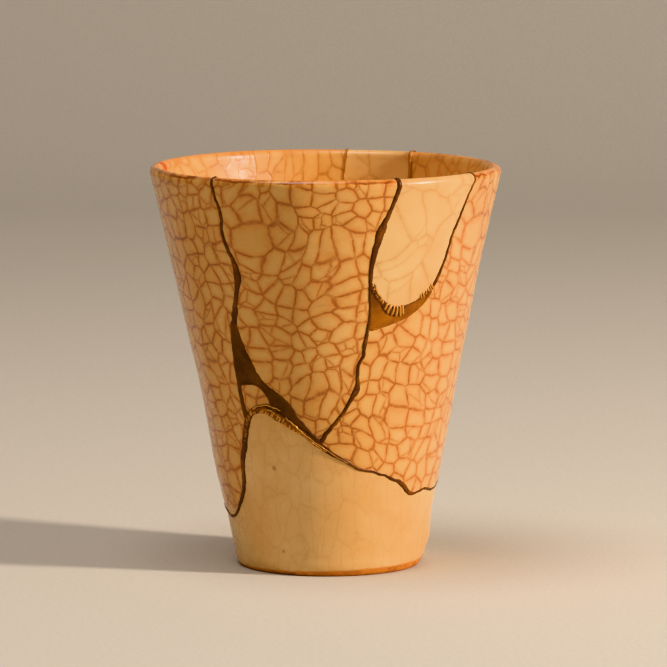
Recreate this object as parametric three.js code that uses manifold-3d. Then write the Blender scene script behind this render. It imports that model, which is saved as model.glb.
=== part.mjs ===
// A kintsugi cup: a small tapered stoneware cup that broke, mended with lacquer dusted with gold.
// Three crazed sherds and a chip are the old cup. The foot, a tongue at the rim and a second tongue at
// the back are plain sherds let in from other pots. Where chips were lost, two putty fills close the wall.
// Millimetres, +Z up, the foot on z = 0, and the side with the front tongue facing -Y.
import * as THREE from "three";
import { mergeVertices } from "three/addons/utils/BufferGeometryUtils.js";
import Module from "manifold-3d";

const wasm = await Module();
wasm.setup();

// Driving dimensions
const cupHeight = 85;
const rimRadius = 37;
const footRadius = 19.6; // where the line of the flank would meet the table, ahead of the bevel
const flankHollow = 0.5; // how far the flank bows in, half way up
const wallThickness = 2.6;
const floorThickness = 5;
const floorFillet = 3; // between the floor and the inner flank
const bevelInset = 1.6; // the worn edge around the foot
const bevelHeight = 3.6;
const ringWidth = 4.5; // the flat ring that the cup stands on
const recessDepth = 1.2; // of the underside within that ring
const footShift = 1; // how far the foot stands to the right of the rim's centre
const lacquerWidth = 0.8; // of a common lacquer line; the breaks give theirs as a share of it
const lacquerRise = 0.3; // how far the lacquer stands proud of the glaze, outside and inside
const glueGap = 0.1; // clearance between the lacquer and the sherds' edges
const cutMargin = 2.5; // how far the break surfaces run past the wall

// Mesh fineness
const turnSteps = 48;
const flankSteps = 7;
const lipSteps = 4;
const curveSteps = 2;
const widestStep = 10; // degrees between two stations of a break

// Soft swells and hollows left by the potter's fingers: where, how far out, and how far they spread, in mm
const swells = [
  { angle: -25, share: 0.85, rise: 0.5, reach: 6 },
  { angle: -10, share: 0.93, rise: 0.35, reach: 5 },
  { angle: -90, share: 0.24, rise: 0.5, reach: 7 },
  { angle: 92, share: 0.78, rise: -0.3, reach: 12 },
  { angle: 38, share: 0.5, rise: -0.3, reach: 14 },
  { angle: 168, share: 0.35, rise: -0.4, reach: 15 },
];

// Breaks, as [angle, share of the cup's height, share of the common width of the lacquer]. Angle 0 is the
// front (-Y) and 90 the right side (+X). Points that two breaks share have a name.
const leftFork = [-39.3, 0.646, 1.9];
const chipCorner = [-42, 0.481, 0.7];
const footPeak = [-40.2, 0.391, 1.9];
const wedgeFoot = [-24.2, 0.412, 2.8];
const centreFoot = [-3.7, 0.338, 2];
const fillCorner = [16.4, 0.627, 1.1];
const patchFork = [16.5, 0.745, 1.1];
const fillTail = [43.5, 0.722, 1.4];
const backFork = [161, 0.578, 1.2];
const backFoot = [158, 0.345, 1.1];

const breaks = [
  {
    name: "left seam",
    route: [[-39.5, 1, 0.9], [-38.8, 0.955, 0.9], [-37.8, 0.92, 1], [-37.7, 0.872, 1], [-35.4, 0.8, 1.2],
      [-34.3, 0.757, 2.3], [-35.2, 0.725, 1.6], leftFork],
  },
  {
    name: "left of the left fill and of the chip",
    route: [leftFork, [-41.4, 0.598, 0.7], [-42.3, 0.53, 0.7], chipCorner, [-41.7, 0.43, 0.7], footPeak],
  },
  {
    name: "right of the left fill",
    route: [leftFork, [-37.2, 0.595, 0.9], [-33.4, 0.534, 0.9], [-30.4, 0.499, 1], [-17.4, 0.436, 0.9],
      [-10, 0.382, 0.8], centreFoot],
  },
  { name: "top and right of the chip", route: [chipCorner, [-31.5, 0.482, 0.7], [-26.5, 0.445, 0.7], wedgeFoot] },
  {
    name: "foot seam",
    closed: true,
    route: [[-72.4, 0.131, 0.8], [-62, 0.14, 0.8], [-55.5, 0.172, 0.9], [-49.5, 0.22, 1], [-47.5, 0.285, 1.4],
      [-43, 0.35, 1.9], footPeak, [-36.5, 0.414, 1.8], [-31, 0.422, 2.1], wedgeFoot,
      [-18, 0.39, 2.4], [-12, 0.37, 2], centreFoot, [4, 0.309, 1.4], [13.5, 0.28, 0.9], [21.8, 0.268, 0.8],
      [31, 0.254, 0.8], [38.5, 0.236, 1.1], [45, 0.209, 1.5], [51, 0.2, 1], [62, 0.206, 0.9], [73, 0.198, 0.9],
      [88, 0.21, 0.9], [104, 0.238, 0.9], [118, 0.25, 0.9], [134, 0.29, 1], [147, 0.325, 1], backFoot,
      [170, 0.32, 1], [186, 0.28, 0.9], [200, 0.245, 0.9], [213, 0.235, 0.9], [227, 0.19, 0.9],
      [242, 0.178, 0.9], [258, 0.15, 0.8], [272, 0.146, 0.8]],
  },
  {
    name: "centre seam",
    route: [centreFoot, [-1.3, 0.362, 1.3], [4, 0.396, 1], [10, 0.45, 1.1], [12.8, 0.476, 2.1],
      [13.1, 0.51, 1], [15.3, 0.57, 1], fillCorner],
  },
  { name: "left of the rim fill", route: [fillCorner, [16.4, 0.69, 0.7], patchFork] },
  {
    name: "under the rim fill",
    route: [fillCorner, [22, 0.633, 0.6], [31.3, 0.652, 0.6], [38.5, 0.677, 0.6], fillTail],
  },
  {
    name: "left and foot of the rim tongue",
    route: [[24.8, 1, 1.3], [24.3, 0.97, 1.3], [20.4, 0.896, 1.5], [19.2, 0.872, 2.5], [17.3, 0.82, 1.6],
      [16.5, 0.785, 1.2], patchFork, [20, 0.7, 1.2], [23.6, 0.678, 2.2], [27, 0.671, 2.7], [30.4, 0.68, 1.9],
      [35, 0.69, 1.1], [40, 0.705, 1.2], fillTail],
  },
  {
    name: "right of the rim tongue",
    route: [fillTail, [46.8, 0.776, 0.9], [49, 0.84, 0.7], [52.6, 0.908, 0.7], [56.5, 0.972, 0.7], [58, 1, 0.7]],
  },
  {
    name: "right and foot of the back tongue",
    route: [[148.3, 1, 1.2], [147.3, 0.93, 1.1], [148.8, 0.81, 1], [146.5, 0.71, 1], [150.5, 0.62, 1.1], backFork],
  },
  {
    name: "left of the back tongue",
    route: [backFork, [169, 0.655, 1.1], [173, 0.76, 1.1], [171, 0.85, 1], [173, 0.93, 1], [172, 1, 1]],
  },
  { name: "back seam", route: [backFork, [157, 0.52, 1], [160, 0.46, 1], [156, 0.4, 1], backFoot] },
];

// Every piece that the breaks leave, by a spot inside it: [angle, share of the cup's height]
const crazedGlaze = { color: 0xeab680, roughness: 0.3, metalness: 0 };
const plainGlaze = { color: 0xf1c488, roughness: 0.28, metalness: 0 };
const ochreGold = { color: 0xb9761c, roughness: 0.5, metalness: 0.4 };
const lacquerGold = { color: 0x7a4a1a, roughness: 0.35, metalness: 0.7 };
const pieces = [
  { name: "foot_sherd", spot: [0, 0.15], finish: plainGlaze },
  { name: "left_sherd", spot: [-90, 0.6], finish: crazedGlaze },
  { name: "front_sherd", spot: [-10, 0.7], finish: crazedGlaze },
  { name: "right_sherd", spot: [80, 0.5], finish: crazedGlaze },
  { name: "small_chip", spot: [-33, 0.45], finish: crazedGlaze },
  { name: "rim_tongue", spot: [37, 0.85], finish: plainGlaze },
  { name: "back_tongue", spot: [160, 0.8], finish: plainGlaze },
  { name: "left_putty_fill", spot: [-38, 0.54], finish: ochreGold },
  { name: "rim_putty_fill", spot: [20, 0.66], finish: ochreGold },
];

const radians = THREE.MathUtils.degToRad;
const lipBase = cupHeight - wallThickness / 2; // where the flank turns into the round of the lip

// The glazed outside of the cup, as a radius at a share of its height
function flankRadius(share) {
  const climb = Math.min(share * cupHeight / lipBase, 1);
  return THREE.MathUtils.lerp(footRadius, rimRadius, climb) - flankHollow * Math.sin(Math.PI * climb);
}

function swellAt(angle, share) {
  let rise = 0;
  for (const swell of swells) {
    const turn = THREE.MathUtils.euclideanModulo(angle - swell.angle + 180, 360) - 180;
    const across = radians(turn) * flankRadius(swell.share);
    const up = (share - swell.share) * cupHeight;
    rise += swell.rise * Math.exp(-(across ** 2 + up ** 2) / swell.reach ** 2);
  }
  return rise;
}

// A point of the cup at an angle, a radius and a height, with the lean that the foot's shift gives
function placed(angle, radius, z) {
  const lean = footShift * (1 - z / cupHeight);
  return new THREE.Vector3(
    radius * Math.sin(radians(angle)) + lean,
    -radius * Math.cos(radians(angle)),
    z,
  );
}

// A closed mesh as a solid for joining and cutting
function solidOf(geometry) {
  const bare = new THREE.BufferGeometry().setAttribute("position", geometry.getAttribute("position"));
  if (geometry.index) bare.setIndex(geometry.index);
  const merged = mergeVertices(bare, 1e-4);
  const solid = (triangles) => new wasm.Manifold(
    new wasm.Mesh({ numProp: 3, vertProperties: merged.attributes.position.array, triVerts: triangles }),
  );
  const corners = Uint32Array.from(merged.index.array);
  const made = solid(corners);
  return made.volume() > 0 ? made : solid(corners.reverse());
}

function geometryOf(solid) {
  const mesh = solid.getMesh();
  return new THREE.BufferGeometry()
    .setAttribute("position", new THREE.BufferAttribute(mesh.vertProperties, 3))
    .setIndex(new THREE.BufferAttribute(mesh.triVerts, 1))
    .toNonIndexed();
}

// The section of the whole cup, from the underside's centre, up the outside, over the lip and down to the
// floor's centre. grow fattens the wall on both sides, for the lacquer that stands proud of it.
function cupSection(grow) {
  const section = [];
  const add = (radius, z) => section.push(new THREE.Vector2(radius, z));
  const lipRadius = wallThickness / 2;
  const lipCentre = rimRadius - lipRadius;
  const bevelTop = flankRadius(bevelHeight / cupHeight);
  const standRadius = bevelTop - bevelInset;
  const ringInside = standRadius - ringWidth;
  add(0, recessDepth);
  add(ringInside - recessDepth, recessDepth);
  add(ringInside, 0);
  add(standRadius, 0);
  for (let i = 1; i <= curveSteps; i++) {
    const turn = (Math.PI / 2) * (i / (curveSteps + 1));
    add(standRadius + bevelInset * Math.sin(turn), bevelHeight * (1 - Math.cos(turn)));
  }
  for (let i = 0; i <= flankSteps; i++) {
    const z = THREE.MathUtils.lerp(bevelHeight, lipBase, i / flankSteps);
    add(flankRadius(z / cupHeight) + grow, z);
  }
  for (let i = 1; i < lipSteps; i++) {
    const turn = Math.PI * (i / lipSteps);
    const reach = lipRadius + grow;
    add(lipCentre + reach * Math.cos(turn), lipBase + reach * Math.sin(turn));
  }
  const filletTop = floorThickness + floorFillet;
  for (let i = flankSteps; i >= 0; i--) {
    const z = THREE.MathUtils.lerp(filletTop, lipBase, i / flankSteps);
    add(flankRadius(z / cupHeight) - wallThickness - grow, z);
  }
  const floorRadius = flankRadius(filletTop / cupHeight) - wallThickness - floorFillet;
  for (let i = 1; i <= curveSteps + 1; i++) {
    const turn = (Math.PI / 2) * (i / (curveSteps + 1));
    add(floorRadius + floorFillet * Math.cos(turn) - grow, filletTop - floorFillet * Math.sin(turn));
  }
  add(0, floorThickness);
  return section;
}

// The whole cup, unbroken: the section turned about the axis, then swollen and leaned by hand
function cupSolid(grow) {
  const turned = new THREE.LatheGeometry(cupSection(grow), turnSteps);
  const spots = turned.getAttribute("position");
  for (let i = 0; i < spots.count; i++) {
    const [x, z, y] = [spots.getX(i), spots.getY(i), spots.getZ(i)];
    const radius = Math.hypot(x, y);
    const angle = THREE.MathUtils.radToDeg(Math.atan2(x, y));
    const share = z / cupHeight;
    const swell = swellAt(angle, share) * Math.min(radius / flankRadius(share), 1);
    const spot = placed(angle, radius + swell, z);
    spots.setXYZ(i, spot.x, spot.y, spot.z);
  }
  return solidOf(turned);
}

// Stations along a break, with none further apart around the cup than widestStep
function stationsOf(route, closed) {
  const points = closed ? [...route, [route[0][0] + 360, route[0][1], route[0][2]]] : route;
  const stations = [];
  for (let i = 0; i + 1 < points.length; i++) {
    const [from, to] = [points[i], points[i + 1]];
    const steps = Math.max(1, Math.ceil(Math.abs(to[0] - from[0]) / widestStep));
    for (let k = 0; k < steps; k++) {
      stations.push(from.map((value, axis) => THREE.MathUtils.lerp(value, to[axis], k / steps)));
    }
  }
  if (!closed) stations.push(points.at(-1));
  return stations;
}

// Where the break meets the rim it runs on past the lip
function pastTheRim(route) {
  const over = 1 + (cutMargin + lacquerRise) / cupHeight;
  const ends = [...route];
  if (route[0][1] === 1) ends.unshift([route[0][0], over, route[0][2]]);
  if (route.at(-1)[1] === 1) ends.push([route.at(-1)[0], over, route.at(-1)[2]]);
  return ends;
}

// A break as a ribbon that cuts the wall from inside to outside, extra wider on each side
function breakSolid({ route, closed = false }, extra) {
  const stations = stationsOf(pastTheRim(route), closed);
  const count = stations.length;
  const flat = ([angle, share]) => new THREE.Vector2(
    radians(angle) * flankRadius(share),
    share * cupHeight,
  );
  const heading = (i, k) => {
    const turn = closed ? 360 * (Math.floor(k / count) - Math.floor(i / count)) : 0;
    const [from, to] = [stations.at(i % count), stations.at(k % count)];
    const share = (from[1] + to[1]) / 2;
    return new THREE.Vector2(
      radians(to[0] + turn - from[0]) * flankRadius(share),
      (to[1] - from[1]) * cupHeight,
    ).normalize();
  };
  const vertices = [];
  stations.forEach((station, i) => {
    const before = closed || i > 0 ? heading(i + count - 1, i + count) : heading(i, i + 1);
    const after = closed || i < count - 1 ? heading(i, i + 1) : before;
    const along = before.clone().add(after).normalize();
    const mitre = 1 / Math.max(along.dot(after), 0.7);
    const half = (station[2] * lacquerWidth / 2 + extra) * mitre;
    const radius = flankRadius(station[1]);
    for (const side of [half, -half]) {
      const spot = flat(station).add(new THREE.Vector2(-along.y * side, along.x * side));
      const angle = THREE.MathUtils.radToDeg(spot.x / radius);
      const near = radius - wallThickness - cutMargin;
      vertices.push(placed(angle, near, spot.y), placed(angle, radius + cutMargin, spot.y));
    }
  });
  const faces = [];
  const quad = (a, b, c, d) => faces.push(a, b, c, a, c, d);
  const links = closed ? count : count - 1;
  for (let i = 0; i < links; i++) {
    const [p, q] = [4 * i, 4 * ((i + 1) % count)];
    quad(p, q, q + 1, p + 1);
    quad(p + 1, q + 1, q + 3, p + 3);
    quad(p + 3, q + 3, q + 2, p + 2);
    quad(p + 2, q + 2, q, p);
  }
  if (!closed) {
    const last = 4 * (count - 1);
    quad(0, 1, 3, 2);
    quad(last, last + 2, last + 3, last + 1);
  }
  const ribbon = new THREE.BufferGeometry().setFromPoints(vertices).setIndex(faces);
  return solidOf(ribbon);
}

function allBreaks(extra) {
  return breaks.map((seam) => breakSolid(seam, extra)).reduce((joined, next) => joined.add(next));
}

// The piece of the broken wall that a spot half way through the wall lies in
function pieceAt(fragments, [angle, share]) {
  const probeSize = 0.2;
  const spot = placed(angle, flankRadius(share) - wallThickness / 2, share * cupHeight);
  const probe = solidOf(new THREE.BoxGeometry(probeSize, probeSize, probeSize).translate(spot.x, spot.y, spot.z));
  return fragments.find((fragment) => fragment.intersect(probe).volume() > 0);
}

function addPiece(group, name, solid, finish) {
  const mesh = new THREE.Mesh(geometryOf(solid), new THREE.MeshStandardMaterial(finish));
  mesh.name = name;
  group.add(mesh);
}

const cup = new THREE.Group();
const fragments = cupSolid(0).subtract(allBreaks(glueGap)).decompose();
for (const { name, spot, finish } of pieces) {
  addPiece(cup, name, pieceAt(fragments, spot), finish);
}
addPiece(cup, "lacquer_seams", cupSolid(lacquerRise).intersect(allBreaks(0)), lacquerGold);

export default cup;
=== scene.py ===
import math
import random

import bpy
import numpy as np
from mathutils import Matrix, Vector, noise


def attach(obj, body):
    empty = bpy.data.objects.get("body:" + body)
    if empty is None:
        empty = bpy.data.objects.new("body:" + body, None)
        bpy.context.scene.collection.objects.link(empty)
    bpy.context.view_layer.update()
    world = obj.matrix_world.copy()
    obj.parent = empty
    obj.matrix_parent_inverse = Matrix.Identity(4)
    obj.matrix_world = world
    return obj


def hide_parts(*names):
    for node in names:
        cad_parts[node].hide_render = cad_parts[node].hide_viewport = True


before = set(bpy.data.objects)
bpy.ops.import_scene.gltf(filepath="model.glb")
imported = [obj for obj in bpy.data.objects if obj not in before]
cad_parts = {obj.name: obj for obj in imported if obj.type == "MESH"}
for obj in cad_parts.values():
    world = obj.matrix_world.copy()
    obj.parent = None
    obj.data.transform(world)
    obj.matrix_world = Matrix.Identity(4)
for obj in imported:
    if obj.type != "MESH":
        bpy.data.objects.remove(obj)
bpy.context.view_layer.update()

mm = 0.001

# The cup before it broke, in mm, as the solids have it. Angle 0 is the front and 90 the right side.
cupForm = {
    "height": 85,
    "rimRadius": 37,
    "footRadius": 19.6,
    "flankHollow": 0.5,
    "wall": 2.6,
    "floor": 5,
    "floorFillet": 3,
    "bevelInset": 1.6,
    "bevelHeight": 3.6,
    "ringWidth": 4.5,
    "recess": 1.2,
    "footShift": 1.0,
    "swells": [  # angle, height, how far out, how far it spreads
        (-25, 72.2, 0.5, 6), (-10, 79, 0.35, 5), (-90, 20.4, 0.5, 7),
        (92, 66.3, -0.3, 12), (38, 42.5, -0.3, 14), (168, 29.8, -0.4, 15),
    ],
    "dents": [  # finger marks too small for the solids: angle, height, depth, spread
        (-22.2, 74.3, -0.55, 3.2), (-15, 70, -0.2, 4), (-52, 63, -0.18, 5), (70, 35, -0.15, 6),
        (88, 5.4, 0.55, 3.6), (84, 1.0, -0.5, 3),
    ],
    "unevenness": 0.16,
    "lipWave": 0.12,
    "lipWaves": ((2, 0.7, 0.6), (5, 2, 0.3)),  # how many round the lip, where they start, how strong
    "ringStep": 0.62,
    "undersideStep": 1.2,
    "stepsRound": 400,
}
lipBase = cupForm["height"] - cupForm["wall"] / 2


def flankRadius(z):
    climb = np.clip(np.asarray(z, float) / lipBase, 0, 1)
    straight = cupForm["footRadius"] + (cupForm["rimRadius"] - cupForm["footRadius"]) * climb
    return straight - cupForm["flankHollow"] * np.sin(np.pi * climb)


# The section as a line of points from the underside's centre, up the outside, over the lip and down inside
def drawSection():
    form = cupForm
    quarter = np.linspace(0, np.pi / 2, 24)
    bevelTop = float(flankRadius(form["bevelHeight"]))
    standRadius = bevelTop - form["bevelInset"]
    ringInside = standRadius - form["ringWidth"]
    up = np.linspace(form["bevelHeight"], lipBase, 260)
    filletTop = form["floor"] + form["floorFillet"]
    down = np.linspace(lipBase, filletTop, 250)
    lipRadius = form["wall"] / 2
    half = np.linspace(0, np.pi, 40)[1:-1]
    fillet = form["floorFillet"]
    filletRadius = float(flankRadius(filletTop)) - form["wall"] - fillet
    parts = [
        [(0, form["recess"]), (ringInside - form["recess"], form["recess"])],
        [(ringInside - 0.2, 0.1), (ringInside, 0)],
        list(zip(standRadius + form["bevelInset"] * np.sin(quarter),
                 form["bevelHeight"] * (1 - np.cos(quarter)))),
        list(zip(flankRadius(up), up))[1:],
        list(zip(form["rimRadius"] - lipRadius * (1 - np.cos(half)), lipBase + lipRadius * np.sin(half))),
        list(zip(flankRadius(down) - form["wall"], down)),
        list(zip(filletRadius + fillet * np.cos(quarter), filletTop - fillet * np.sin(quarter)))[1:],
        [(0, form["floor"])],
    ]
    return np.array([point for part in parts for point in part], float)


section = drawSection()
sectionRun = np.concatenate([[0], np.cumsum(np.hypot(*np.diff(section, axis=0).T))])
sectionSlope = np.gradient(section, sectionRun, axis=0)
sectionNormal = np.stack([sectionSlope[:, 1], -sectionSlope[:, 0]], 1)
sectionNormal /= np.linalg.norm(sectionNormal, axis=1)[:, None]
lipTop = int(np.argmax(section[:, 1]))
bevelStart = int(np.argmax(section[:, 0] > section[section[:, 1] == 0][:, 0].max() + 0.01)) - 1
outerPart = slice(bevelStart, lipTop + 1)
floorEnd = int(np.argmax((np.arange(len(section)) > lipTop) & (section[:, 1] <= cupForm["floor"] + 1e-6)))
innerPart = slice(lipTop, floorEnd + 1)


def outerRun(z):
    return np.interp(z, section[outerPart, 1], sectionRun[outerPart])


def innerRun(z):
    return np.interp(z, section[innerPart, 1][::-1], sectionRun[innerPart][::-1])


def relief(angle, radius, z):
    out = np.zeros_like(angle)
    for turn, height, rise, reach in cupForm["swells"] + cupForm["dents"]:
        across = np.radians((angle - turn + 180) % 360 - 180) * float(flankRadius(height))
        out += rise * np.exp(-(across ** 2 + (z - height) ** 2) / reach ** 2)
    return out * np.minimum(radius / flankRadius(z), 1)


def unevenness(places):
    wide = [noise.noise(Vector(p) * 0.085) for p in places]
    fine = [noise.noise(Vector((p[0], p[1], p[2] * 1.8)) * 0.26 + Vector((9, 4, 2))) for p in places]
    return cupForm["unevenness"] * (np.array(wide) + 0.3 * np.array(fine))


# How far the cup leans at a height, because the foot stands a little off the middle of the rim
def leanAt(z):
    return cupForm["footShift"] * (1 - z / cupForm["height"])


# Points of the cup's skin at an angle and a run along the section, lift mm out from the surface
def skin(angle, run, lift=0.0):
    angle = np.asarray(angle, float)
    radius = np.interp(run, sectionRun, section[:, 0])
    z = np.interp(run, sectionRun, section[:, 1])
    normal = np.stack([np.interp(run, sectionRun, sectionNormal[:, k]) for k in (0, 1)], 1)
    turn = np.radians(angle)
    still = np.stack([radius * np.sin(turn), -radius * np.cos(turn), z], 1)
    upper = np.clip((z - 4) / 10, 0, 1)
    swell = relief(angle, radius, z) + unevenness(still) * upper * np.minimum(radius / flankRadius(z), 1)
    wave = cupForm["lipWave"] * np.clip((z - 66) / 19, 0, 1) ** 2
    wave = wave * sum(share * np.sin(count * turn + start) for count, start, share in cupForm["lipWaves"])
    reach = radius + swell + lift * normal[:, 0]
    height = z + wave + lift * normal[:, 1]
    return np.stack([reach * np.sin(turn) + leanAt(z), -reach * np.cos(turn), height], 1)


# Where the cup broke. Each route is a list of angle, height and width of the lacquer, all from the photograph
# at the front. A route that starts or ends at "rim" goes over the lip. Corners that routes share have a name.
rim = 85.0
leftFork = (-39.3, 54.9, 1.5)
chipCorner = (-42, 40.9, 0.85)
footPeak = (-40, 33.3, 1.5)
wedgeFoot = (-24.3, 35, 2.2)
centreFoot = (-3.8, 28.8, 1.6)
fillCorner = (16.4, 53.3, 0.9)
patchFork = (16.5, 63.3, 0.9)
fillTail = (43.5, 61.4, 1.1)
backFork = (161, 49.1, 1)
backFoot = (158, 29.3, 0.9)
breaks = {
    "leftSeam": [
        (-39.5, rim, 0.75), (-38.9, 81.1, 0.7), (-38, 79, 0.75), (-37.5, 76.3, 0.8), (-38.1, 73.6, 0.8),
        (-36.9, 70.4, 0.9), (-34.9, 67.4, 1.2), (-34.3, 64.3, 1.9), (-35.1, 61.8, 1.3), (-36.6, 59.2, 1.1),
        leftFork],
    "fillLeft": [
        leftFork, (-40.7, 53, 0.8), (-41.4, 50.8, 0.6), (-42, 47.5, 0.6), (-42.3, 43.9, 0.7), chipCorner,
        (-41.8, 36.4, 1), footPeak],
    "fillRight": [
        leftFork, (-38.3, 53, 0.8), (-37.2, 50.6, 0.7), (-35.6, 48.3, 0.7), (-33.4, 45.4, 0.8),
        (-30.6, 42.4, 0.9), (-27.4, 40.9, 0.8), (-21.5, 38.9, 0.7), (-17.1, 37, 0.7), (-13.6, 34.4, 0.6),
        (-11, 33, 0.6), (-7, 30.9, 0.8), centreFoot],
    "chipEdge": [
        chipCorner, (-37.4, 41.2, 0.5), (-33, 41.1, 0.5), (-29.7, 40.3, 0.5), (-27.6, 38.8, 0.5),
        (-26, 37, 0.6), wedgeFoot],
    "footSeam": [
        (-72.4, 11.1, 0.6), (-67, 11.4, 0.6), (-62.5, 12.1, 0.6), (-57.3, 14.2, 0.8), (-52.2, 16.9, 1),
        (-49.6, 19.5, 1.1), (-48.6, 22.2, 1.2), (-47, 25, 1.4), (-44.2, 27.9, 1.5), (-41.8, 31.2, 1.6),
        footPeak, (-36.9, 35.1, 1.4), (-32.8, 35.8, 1.5), (-28.4, 35.8, 1.9), wedgeFoot, (-20.9, 34, 2.2),
        (-16.7, 32.8, 1.7), (-13, 31.8, 1.5), (-8.8, 30.4, 1.5), centreFoot, (0, 27.5, 1.3), (4, 26.3, 1),
        (9.7, 24.9, 0.8), (15, 23.5, 0.7), (21.8, 22.8, 0.65), (29.1, 21.8, 0.6), (33.9, 20.9, 0.7),
        (38, 20.2, 0.9), (41.5, 19.3, 1.2), (44.8, 18, 1.2), (48.9, 17.1, 0.9), (53.2, 17.1, 0.75),
        (61.9, 17.5, 0.7), (74, 16.8, 0.7), (88, 17.9, 0.7), (104, 20.2, 0.7), (118, 21.3, 0.7),
        (134, 24.7, 0.8), (147, 27.6, 0.8), backFoot, (170, 27.2, 0.8), (186, 23.8, 0.7), (200, 20.8, 0.7),
        (213, 20, 0.7), (227, 16.2, 0.7), (242, 15.1, 0.7), (258, 12.8, 0.6), (272, 12.4, 0.6)],
    "centreSeam": [
        centreFoot, (-2.4, 29.9, 1.2), (-1, 31, 1), (1, 32.1, 0.9), (4, 33.7, 0.8), (7.4, 35.9, 0.75),
        (10.2, 38.4, 0.9), (12.7, 40.3, 1.7), (13.3, 42.4, 0.9), (12.9, 44.4, 0.8), (13.5, 46.3, 0.75),
        (15.1, 47.9, 0.8), (15.4, 50.1, 0.9), fillCorner],
    "rimFillLeft": [fillCorner, (16.8, 57, 0.5), (16.3, 61, 0.6), patchFork],
    "rimFillFoot": [
        fillCorner, (21.4, 53.7, 0.45), (26.2, 54.5, 0.45), (31.3, 55.4, 0.45), (36.3, 56.8, 0.5),
        (40.1, 58.4, 0.5), fillTail],
    "tongueLeft": [
        (24.8, rim, 1.1), (24.7, 83.7, 1.1), (23.5, 81, 1), (22, 78.6, 1), (20.5, 76.3, 1.2),
        (19.2, 74.3, 2.1), (18.1, 71.9, 1.7), (17.2, 69.6, 1.4), (16.6, 67, 1.1), patchFork,
        (18.4, 61.1, 0.9), (21.2, 59.2, 1.2), (23, 57.9, 1.8), (25.4, 57.1, 2.2), (27.6, 57.1, 2.2),
        (30.2, 57.7, 1.3), (32.6, 58.2, 0.4), (36.1, 59, 0.35), (38.3, 59.6, 0.8), (41, 60.4, 1), fillTail],
    "tongueRight": [
        fillTail, (45.5, 64, 1), (47.2, 66.6, 0.85), (48.3, 69.3, 0.75), (49.2, 72, 0.75),
        (50.9, 74.6, 0.8), (52.6, 77.2, 0.75), (54.3, 79.8, 0.7), (56.2, 82.2, 0.7), (57.6, 84, 0.6),
        (58.1, rim, 0.6)],
    "backTongueRight": [
        (148.3, rim, 1), (147.3, 80, 0.9), (147.8, 74, 0.9), (148.8, 68.8, 0.8), (146.5, 60.3, 0.8),
        (150.5, 52.7, 0.9), backFork],
    "backTongueLeft": [
        backFork, (169, 55.7, 0.9), (173, 64.6, 0.9), (171, 72.2, 0.8), (173, 79, 0.8), (172, rim, 0.8)],
    "backSeam": [backFork, (157, 44.2, 0.8), (160, 39.1, 0.8), (156, 34, 0.8), backFoot],
}
faintInside = {"backTongueLeft": 0.36, "backTongueRight": 0.9}  # share of the width that shows inside
# The left fills and the beads on their edges are painted darker than the rim fill: painted shade for the left
# of the cup.
fillEdges = {
    "rimFillFoot": "puttyGold", "fillLeft": "puttyInShade", "fillRight": "puttyInShade", "chipEdge": "puttyInShade",
}
breakStyle = {
    "gap": 0.24, "wider": 0.14, "jitter": 0.14, "step": 0.45, "overRim": 3.0, "pastEnd": 0.6,
    "reachPastWall": 2.2, "nearRim": 0.5,
}


# A smooth line through the points of a route, with a station every step mm
def smoothRoute(points, step, closed=False):
    points = [np.array(p, float) for p in points]
    turn = np.array([360.0] + [0.0] * (len(points[0]) - 1))
    if closed:
        ends = [points[-1] - turn, *points, points[0] + turn, points[1] + turn]
    else:
        ends = [2 * points[0] - points[1], *points, 2 * points[-1] - points[-2]]
    line = []
    for before, start, end, after in zip(ends, ends[1:], ends[2:], ends[3:]):
        radius = float(flankRadius(min((start[1] + end[1]) / 2, lipBase)))
        length = math.hypot(math.radians(end[0] - start[0]) * radius, end[1] - start[1])
        count = max(1, round(length / step))
        for k in range(count):
            s = k / count
            line.append(0.5 * (2 * start + (end - before) * s
                               + (2 * before - 5 * start + 4 * end - after) * s ** 2
                               + (3 * start - before - 3 * end + after) * s ** 3))
    if not closed:
        line.append(points[-1])
    return np.array(line)


# Unit steps along a line on the skin, as mm round the cup and mm up
def stepsAlong(angle, climb, radius, closed):
    if closed:
        turn = (np.roll(angle, -1) - np.roll(angle, 1) + 180) % 360 - 180
        rise = np.roll(climb, -1) - np.roll(climb, 1)
    else:
        turn, rise = np.gradient(angle), np.gradient(climb)
    along = np.stack([np.radians(turn) * radius, rise], 1)
    return along / np.linalg.norm(along, axis=1)[:, None]


# The way across a line on the skin, as a change of angle and of run for each mm to its left
def acrossLine(angle, run, closed=False):
    radius = np.interp(run, sectionRun, section[:, 0])
    along = stepsAlong(angle, run, radius, closed)
    return -along[:, 1] / np.radians(1) / radius, along[:, 0]


def waver(values, seed, scale):
    return np.array([noise.noise(Vector((v * scale, seed * 3.7, seed * 1.3))) for v in values])


# Each break as stations of angle, height and width, a little ragged as broken stoneware is
def raggedBreak(name):
    closed = name == "footSeam"
    line = smoothRoute(breaks[name], breakStyle["step"], closed)
    seed = 1 + list(breaks).index(name)
    stations = np.arange(len(line))
    ends = np.ones(len(line)) if closed else np.clip(np.minimum(stations, stations[::-1]) / 4, 0, 1)
    rough = waver(stations, seed, 0.31) + 0.6 * waver(stations, seed + 40, 0.8)
    shift = breakStyle["jitter"] * ends * rough
    overAngle, overRun = acrossLine(line[:, 0], outerRun(line[:, 1]), closed)
    line[:, 0] += shift * overAngle
    line[:, 1] += shift * overRun
    line[:, 2] += breakStyle["wider"]
    return line, closed


ragged = {name: raggedBreak(name) for name in breaks}


def newMesh(name, points, faces):
    mesh = bpy.data.meshes.new(name)
    mesh.from_pydata(points, [], faces)
    mesh.update()
    made = bpy.data.objects.new(name, mesh)
    bpy.context.collection.objects.link(made)
    return made


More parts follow.
